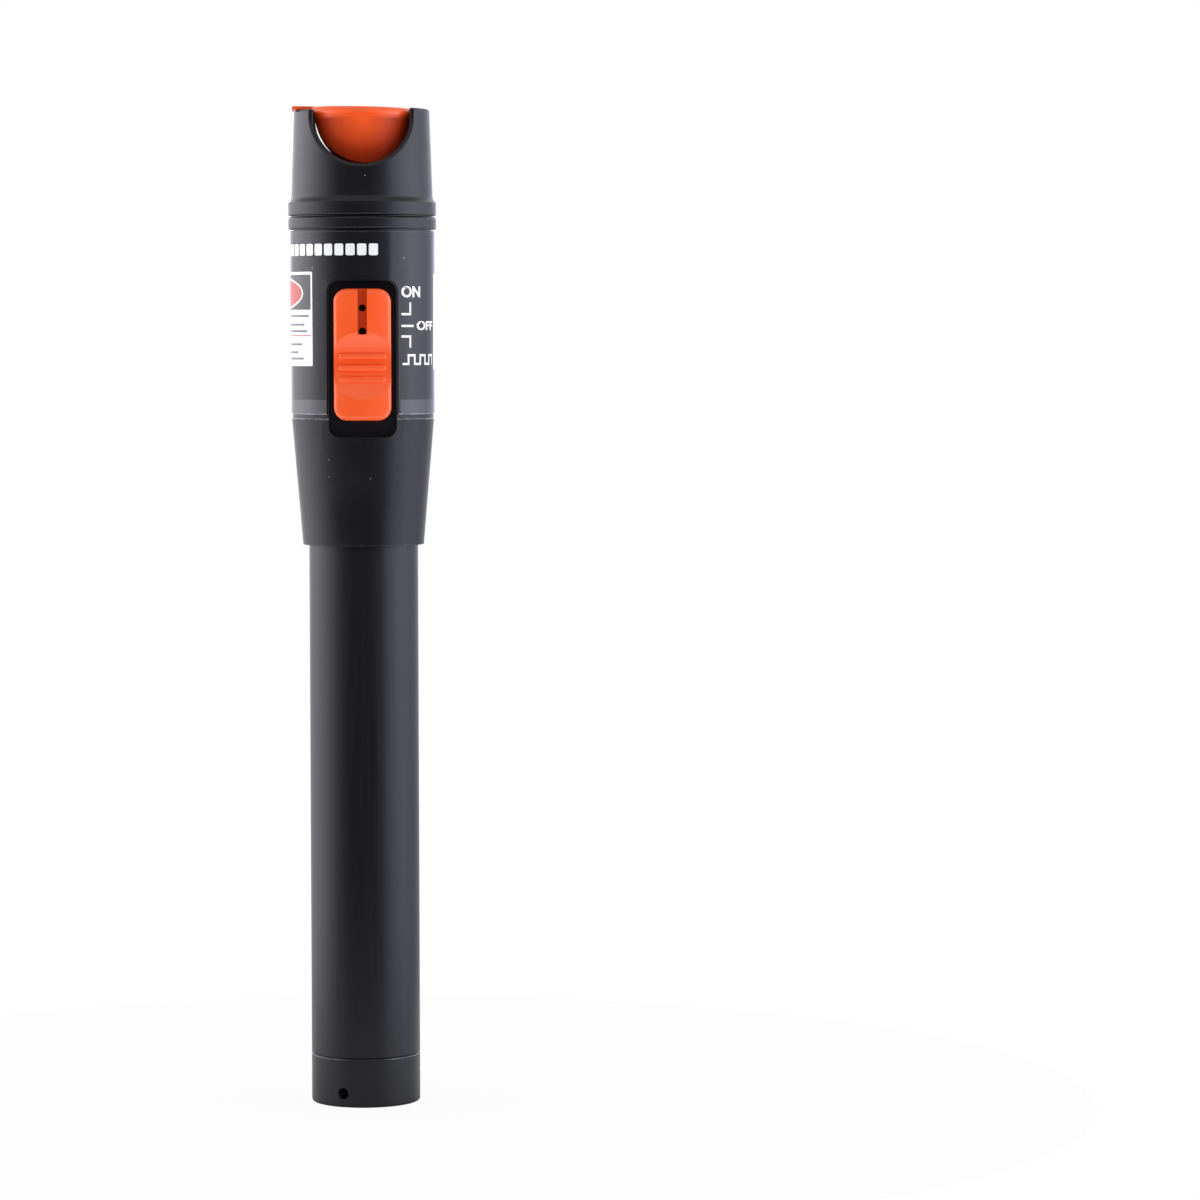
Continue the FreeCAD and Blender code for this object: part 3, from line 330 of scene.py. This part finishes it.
def film_black():
    """Glossy black film, with a painted highlight along each of its two cut edges."""
    base, inside = 0.0098, 0.01
    finish, tree, shader = start_finish("film_black", (base,) * 3, 0.16, Specular_IOR_Level=0.35)
    place = object_place(tree)
    broad = grain(tree, place, 240)
    tree.links.new(vary(tree, broad, 0.13, 0.19), shader.inputs["Roughness"])
    shade = mix(tree, vary(tree, broad, 0, 1), (base * 0.9, base * 0.9, base * 1.1), bluish(base, 1.25))
    shade = mix(tree, dust(tree, place, 0.045, 0.6), shade, (0.3, 0.3, 0.31))
    # painted highlights along the film's foot and top cut edges, the foot one brighter
    for height, light in ((FILM_LOW.z + PAINTED_HIGHLIGHT_HALF_WIDTH, 0.30), (FILM_HIGH.z - PAINTED_HIGHLIGHT_HALF_WIDTH, 0.05)):
        shade = mix(tree, painted_highlight_line(tree, place, height, inside), shade, bluish(light, 1.05))
    tree.links.new(shade, shader.inputs["Base Color"])
    press_bump(tree, shader, grain(tree, place, 3000), 0.05)
    return finish


def moulded_orange(name, painted_shade_mask):
    """Orange plastic; the second argument draws the mask of painted shade, where its colour is darkened and
    its gloss taken away.
    """
    finish, tree, shader = start_finish(name, (1.0, 0.11, 0.02), 0.34)
    place = object_place(tree)
    broad = grain(tree, place, BROAD_GRAIN)
    mask = painted_shade_mask(tree, place)
    shade = mix(tree, vary(tree, broad, 0, 1), (0.99, 0.106, 0.014), (1.0, 0.118, 0.018))
    # painted shade: the masked places are darkened to a deep red and lose their gloss
    tree.links.new(mix(tree, mask, shade, (0.20, 0.010, 0.004)), shader.inputs["Base Color"])
    tree.links.new(carry(tree, mask, 0.0, 0.84, 0.5, 0.0), shader.inputs["Specular IOR Level"])
    tree.links.new(vary(tree, broad, 0.31, 0.37), shader.inputs["Roughness"])
    press_bump(tree, shader, grain(tree, place, 3600), 0.06)
    return finish


def ink(name, colour, roughness=0.3):
    finish, tree, shader = start_finish(name, colour, roughness)
    spots = grain(tree, object_place(tree), 900)
    mottle(tree, shader, spots, colour, 0.94, roughness - 0.04, roughness + 0.04)
    return finish


def metal(name, colour, roughness, along=(1, 1, 1)):
    """A turned, drawn or plated metal, with fine marks along or round it."""
    finish, tree, shader = start_finish(name, colour, roughness, Metallic=1.0)
    marks = grain(tree, object_place(tree, along), FINE_GRAIN, 3)
    mottle(tree, shader, marks, colour, 0.86, roughness - 0.05, roughness + 0.06)
    press_bump(tree, shader, marks, 0.10)
    return finish


def plain_moulding(name, colour, roughness, **sockets):
    finish, tree, shader = start_finish(name, colour, roughness, **sockets)
    spots = grain(tree, object_place(tree), 2400, 3)
    mottle(tree, shader, spots, colour, 0.85, roughness - 0.04, roughness + 0.05)
    press_bump(tree, shader, spots, 0.10)
    return finish


def cell_jacket():
    """A shrunk sleeve, dark for two thirds of each cell and copper above, between the can's bare ends."""
    rear_cell_foot, cell_length = 0.0084, 0.0505
    bare, dark, copper = (0.55, 0.55, 0.55), (0.02, 0.024, 0.035), (0.62, 0.42, 0.16)
    finish, tree, shader = start_finish("cell_jacket", (0.03, 0.035, 0.05), 0.28)
    place = object_place(tree)
    height = work_out(tree, "SUBTRACT", split(tree, place)["Z"], rear_cell_foot)
    along_cell = work_out(tree, "FRACT", work_out(tree, "DIVIDE", height, cell_length))
    bands = add_node(tree, "ShaderNodeValToRGB", {0: along_cell})
    set_stops(bands, [(0.0, bare), (0.02, dark), (0.68, dark), (0.69, copper), (0.965, copper),
                      (0.975, (0.6, 0.6, 0.6))])
    tree.links.new(bands.outputs[0], shader.inputs["Base Color"])
    tree.links.new(vary(tree, grain(tree, place, BROAD_GRAIN), 0.24, 0.32), shader.inputs["Roughness"])
    return finish


def board_green():
    """Solder mask with thin tracks under it."""
    finish, tree, shader = start_finish("board_green", (0.01, 0.09, 0.035), 0.35)
    tracks = add_node(tree, "ShaderNodeTexVoronoi", {"Vector": object_place(tree), "Scale": 420.0},
                      feature="DISTANCE_TO_EDGE", distance="CHEBYCHEV")
    edge = work_out(tree, "LESS_THAN", tracks.outputs["Distance"], 0.06)
    tree.links.new(mix(tree, edge, (0.008, 0.075, 0.03), (0.03, 0.17, 0.06)), shader.inputs["Base Color"])
    press_bump(tree, shader, edge, 0.15, 0.00003)
    return finish


def lens_glass():
    finish, tree, shader = start_finish("lens_glass", (0.92, 0.96, 1.0), 0.03, Transmission_Weight=1.0,
                                        IOR=1.52, Coat_Weight=0.3)
    tree.links.new(vary(tree, grain(tree, object_place(tree), 900), 0.02, 0.05), shader.inputs["Roughness"])
    return finish


def paint(piece, finish):
    piece.data.materials.clear()
    piece.data.materials.append(finish)


def dress(finish, *names):
    """Give CAD nodes one finish all over."""
    for name in names:
        paint(nodes[name], finish)


def dress_nodes():
    housing_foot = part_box("housing")[0].z
    barrel_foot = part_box("barrel_tube")[0].z
    # painted highlight lines: a faint one at the housing's foot and a brighter one at the shoulder under the
    # film
    painted_highlights = ((housing_foot + PAINTED_HIGHLIGHT_HALF_WIDTH, 0.0097, 0.03), (FILM_LOW.z - 0.0008, 0.0115, 0.26))
    round_it = (1, 1, 8)
    black = (0.012, 0.012, 0.012)
    dress(moulded_black("hood_black"), "nose_hood", "front_bulkhead")
    dress(moulded_black("housing_black", painted_highlights), "housing")
    dress(anodised_black("tube_black"), "barrel_tube")
    dress(anodised_black("cap_black", barrel_foot - 0.00022), "tail_cap")
    dress(film_black(), "label_film")
    dress(moulded_orange("knob_orange", slot_painted_shade), "slide_knob")
    dress(moulded_orange("lid_orange", tongue_painted_shade), "flip_lid")
    dress(plain_moulding("stem_black", black, 0.4), "switch_stem")
    dress(plain_moulding("seal_rubber", black, 0.6), "seal_ring")
    dress(plain_moulding("component_black", (0.02, 0.02, 0.021), 0.45), "driver_chip", "power_coil")
    dress(plain_moulding("capacitor_sleeve", (0.02, 0.03, 0.06), 0.3), "capacitors")
    dress(plain_moulding("resistor_ceramic", (0.55, 0.52, 0.47), 0.5), "resistors")
    dress(plain_moulding("trimmer_blue", (0.03, 0.10, 0.35), 0.4), "trimmer")
    dress(plain_moulding("insulator_natural", (0.72, 0.70, 0.64), 0.45), "contact_insulator")
    dress(plain_moulding("phenolic_brown", (0.20, 0.09, 0.035), 0.5), "switch_base")
    dress(plain_moulding("sleeve_ceramic", (0.86, 0.84, 0.78), 0.15, Coat_Weight=0.4), "ferrule_sleeve")
    dress(metal("adapter_nickel", (0.72, 0.69, 0.64), 0.22, round_it), "fibre_adapter")
    dress(metal("module_brass", (0.75, 0.55, 0.25), 0.26, round_it), "laser_holder")
    dress(metal("diode_gold", (0.85, 0.62, 0.28), 0.25), "laser_diode")
    dress(metal("ring_steel", (0.6, 0.6, 0.6), 0.3, round_it), "lens_ring")
    dress(metal("stop_nickel", (0.7, 0.68, 0.64), 0.3), "ferrule_stop")
    dress(metal("pin_steel", (0.62, 0.62, 0.62), 0.25, (1, 0.1, 1)), "hinge_pin")
    dress(metal("contact_plate", (0.78, 0.72, 0.58), 0.28), "tail_contact", "front_contact", "ground_clip")
    dress(metal("spring_wire", (0.62, 0.61, 0.58), 0.3), "tail_spring")
    dress(metal("switch_steel", (0.62, 0.62, 0.60), 0.32), "switch_case", "switch_pins")
    dress(cell_jacket(), "cell_rear", "cell_front")
    dress(board_green(), "circuit_board")
    dress(lens_glass(), "focus_lens")


# ---- print on the film ----
# It is laid out flat: millimetres round the film from the front, to the right, and height.

def round_film(degrees):
    return math.radians(degrees) * FILM_RADIUS / MM


def span(piece, axis):
    """The least and the greatest coordinate of a mesh along an axis, X being 0 and Z being 2."""
    values = [vertex.co[axis] for vertex in piece.data.vertices]
    return min(values), max(values)


def ink_block(left, right, low, high, corner=0.0):
    """One flat patch of ink, cut into narrow columns so that it can bend."""
    bpy.ops.object.select_all(action="DESELECT")
    bpy.ops.mesh.primitive_plane_add(size=1, rotation=(math.pi / 2, 0, 0),
                                     location=((left + right) / 2 * MM, 0, (low + high) / 2 * MM))
    block = bpy.context.object
    block.scale = ((right - left) * MM, (high - low) * MM, 1)
    bpy.ops.object.transform_apply()
    bpy.ops.object.mode_set(mode="EDIT")
    bpy.ops.mesh.select_all(action="SELECT")
    if corner:
        bpy.ops.mesh.bevel(offset=corner * MM, segments=5, affect="VERTICES")
    columns = int((right - left) / INK_COLUMN)
    for i in range(1, columns + 1):
        place = left + (right - left) * i / (columns + 1)
        bpy.ops.mesh.select_all(action="SELECT")
        bpy.ops.mesh.bisect(plane_co=(place * MM, 0, 0), plane_no=(1, 0, 0))
    bpy.ops.object.mode_set(mode="OBJECT")
    return block


def ink_oval(centre, height, half_width, half_height):
    """One flat oval of ink, cut into narrow columns so that it can bend."""
    block = ink_block(centre - half_width, centre + half_width, height - half_height, height + half_height)
    for vertex in block.data.vertices:
        across = (vertex.co.x / MM - centre) / half_width
        side = 1 if vertex.co.z / MM > height else -1
        vertex.co.z = (height + side * half_height * math.sqrt(max(0.0, 1 - across * across))) * MM
    return block


def ink_word(body, left, right, low, high):
    """Plain lettering stretched to its place."""
    bpy.ops.object.select_all(action="DESELECT")
    bpy.ops.object.text_add(rotation=(math.pi / 2, 0, 0))
    word = bpy.context.object
    word.data.body = body
    word.data.size = 0.003
    word.data.offset = 0.0001
    word.data.resolution_u = 6
    bpy.ops.object.convert(target="MESH")
    bpy.ops.object.transform_apply()
    (start, end), (foot, top) = span(word, 0), span(word, 2)
    word.scale = ((right - left) * MM / (end - start), 1, (high - low) * MM / (top - foot))
    bpy.ops.object.transform_apply()
    word.location = (left * MM - span(word, 0)[0], 0, low * MM - span(word, 2)[0])
    bpy.ops.object.transform_apply()
    return word


def print_on_film(name, blocks, finish, layer=1):
    """Join flat ink, bend it round the film, and settle it on the film at its layer's height."""
    bpy.ops.object.select_all(action="DESELECT")
    for block in blocks:
        block.select_set(True)
    bpy.context.view_layer.objects.active = blocks[0]
    if len(blocks) > 1:
        bpy.ops.object.join()
    piece = bpy.context.object
    piece.name = name
    start, end = span(piece, 0)
    bend = piece.modifiers.new("bend", "SIMPLE_DEFORM")
    bend.deform_method = "BEND"
    bend.deform_axis = "Z"
    bend.angle = (end - start) / FILM_RADIUS
    bpy.ops.object.modifier_apply(modifier="bend")
    piece.location = (0, -FILM_RADIUS, 0)
    bpy.ops.object.transform_apply()
    settle = piece.modifiers.new("settle", "SHRINKWRAP")
    settle.target = nodes["label_film"]
    settle.wrap_method = "NEAREST_SURFACEPOINT"
    settle.wrap_mode = "ABOVE_SURFACE"
    settle.offset = INK_LIFTS[layer] * MM
    bpy.ops.object.modifier_apply(modifier="settle")
    paint(piece, finish)
    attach(piece, "pen")


def print_switch_marks(white):
    """ON, OFF and a pulse sign beside the switch, each with its pointer."""
    line = 0.38
    half = line / 2
    upper, middle, lower = 140.05, 138.0, 136.15
    pointer_top, pointer_foot = 142.1, 134.2
    left, turn = round_film(32.4), round_film(42.0)
    print_on_film("switch_pointers", [
        ink_block(left, turn, upper - half, upper + half),
        ink_block(turn - line, turn, upper + half, pointer_top),
        ink_block(left, round_film(44.7), middle - half, middle + half),
        ink_block(left, turn, lower - half, lower + half),
        ink_block(turn - line, turn, pointer_foot, lower - half)], white)
    print_on_film("word_on", [ink_word("ON", left, round_film(52.6), 142.97, 144.95)], white)
    print_on_film("word_off", [ink_word("OFF", round_film(48.3), round_film(74.0), 137.25, 138.85)], white)
    low, high = 131.15, 133.05
    start, width, count = round_film(33.4), 1.5, 3
    pulses = []
    for i in range(count):
        x = start + 2 * i * width
        pulses.append(ink_block(x, x + width, low, low + line))
        pulses.append(ink_block(x + width - line, x + width, low + line, high))
        pulses.append(ink_block(x + width, x + 2 * width, high - line, high))
        pulses.append(ink_block(x + 2 * width - line, x + 2 * width, low, high - line))
    print_on_film("pulse_sign", pulses, white)


def print_heading(white):
    """A row of plain blocks, from the left round to just past the switch."""
    right, low, high = round_film(12.6), 150.3, 152.35
    count, wide, apart, corner = 15, 1.62, 0.42, 0.3
    blocks = []
    for i in range(count):
        place = right - (i + 1) * wide - i * apart
        blocks.append(ink_block(place, place + wide, low, high, corner))
    print_on_film("heading_blocks", blocks, white)


def ink_rule(left, right, level):
    return ink_block(left, right, level - RULE_HALF_HEIGHT, level + RULE_HALF_HEIGHT)


def print_left_panel(white, grey, red, line_grey):
    """A white panel with a red oval in a grey field over plain rules, on the left."""
    left, right, low, high, corner = round_film(-140), round_film(-43.4), 131.0, 147.5, 0.2
    margin, field_low, field_high = 0.4, 140.85, 147.0
    oval, oval_height = round_film(-54.0) - 8.2, 143.75
    print_on_film("left_panel", [ink_block(left, right, low, high, corner)], white)
    print_on_film("left_panel_field", [ink_block(left + margin, right - margin, field_low, field_high)],
                  grey, 2)
    print_on_film("left_panel_oval_edge", [ink_oval(oval, oval_height, 8.2, 2.75)], white, 3)
    print_on_film("left_panel_oval", [ink_oval(oval, oval_height, 7.85, 2.4)], red, 4)
    levels = ((139.75, 0.9), (138.25, 2.1), (137.1, 1.4), (134.8, 2.9), (133.4, 4.2), (132.3, 2.4))
    rules = [ink_rule(left + inset, right - inset, level) for level, inset in levels]
    print_on_film("left_panel_rules", rules, line_grey, 2)
    print_on_film("left_panel_red_rule", [ink_block(left + margin, right - margin, 136.2, 136.42)], red, 2)


def print_right_panel(white, line_grey):
    """A white panel of plain rules on the right, where every third rule is short."""
    left, right, low, high, corner = round_film(78.5), round_film(150), 130.3, 147.2, 0.2
    count, highest, apart = 7, 145.4, 2.1
    margin, short = 1.2, 4.0
    print_on_film("right_panel", [ink_block(left, right, low, high, corner)], white)
    rules = [ink_rule(left + margin, right - (margin if i % 3 else short), highest - i * apart)
             for i in range(count)]
    print_on_film("right_panel_rules", rules, line_grey, 2)


def print_foot_band(grey):
    """The lighter band round the film's foot, from the switch well's right side round to its left."""
    film_foot = FILM_LOW.z / MM
    well_right, well_left = 7.0, round_film(330)
    print_on_film("foot_band", [ink_block(well_right, well_left, film_foot + 0.22, film_foot + 2.6)], grey, 0)


def print_film():
    white = ink("ink_white", (0.94, 0.94, 0.94))
    grey = ink("ink_grey", (0.030, 0.029, 0.033))
    red = ink("ink_red", (0.55, 0.06, 0.05))
    line_grey = ink("ink_line_grey", (0.16, 0.15, 0.18))
    print_switch_marks(white)
    print_heading(white)
    print_left_panel(white, grey, red, line_grey)
    print_right_panel(white, line_grey)
    print_foot_band(ink("ink_foot", (0.048, 0.046, 0.051), 0.2))


place_camera()
light_studio()
lay_floor()
bpy.context.scene.view_settings.view_transform = "Standard"
dress_nodes()
print_film()
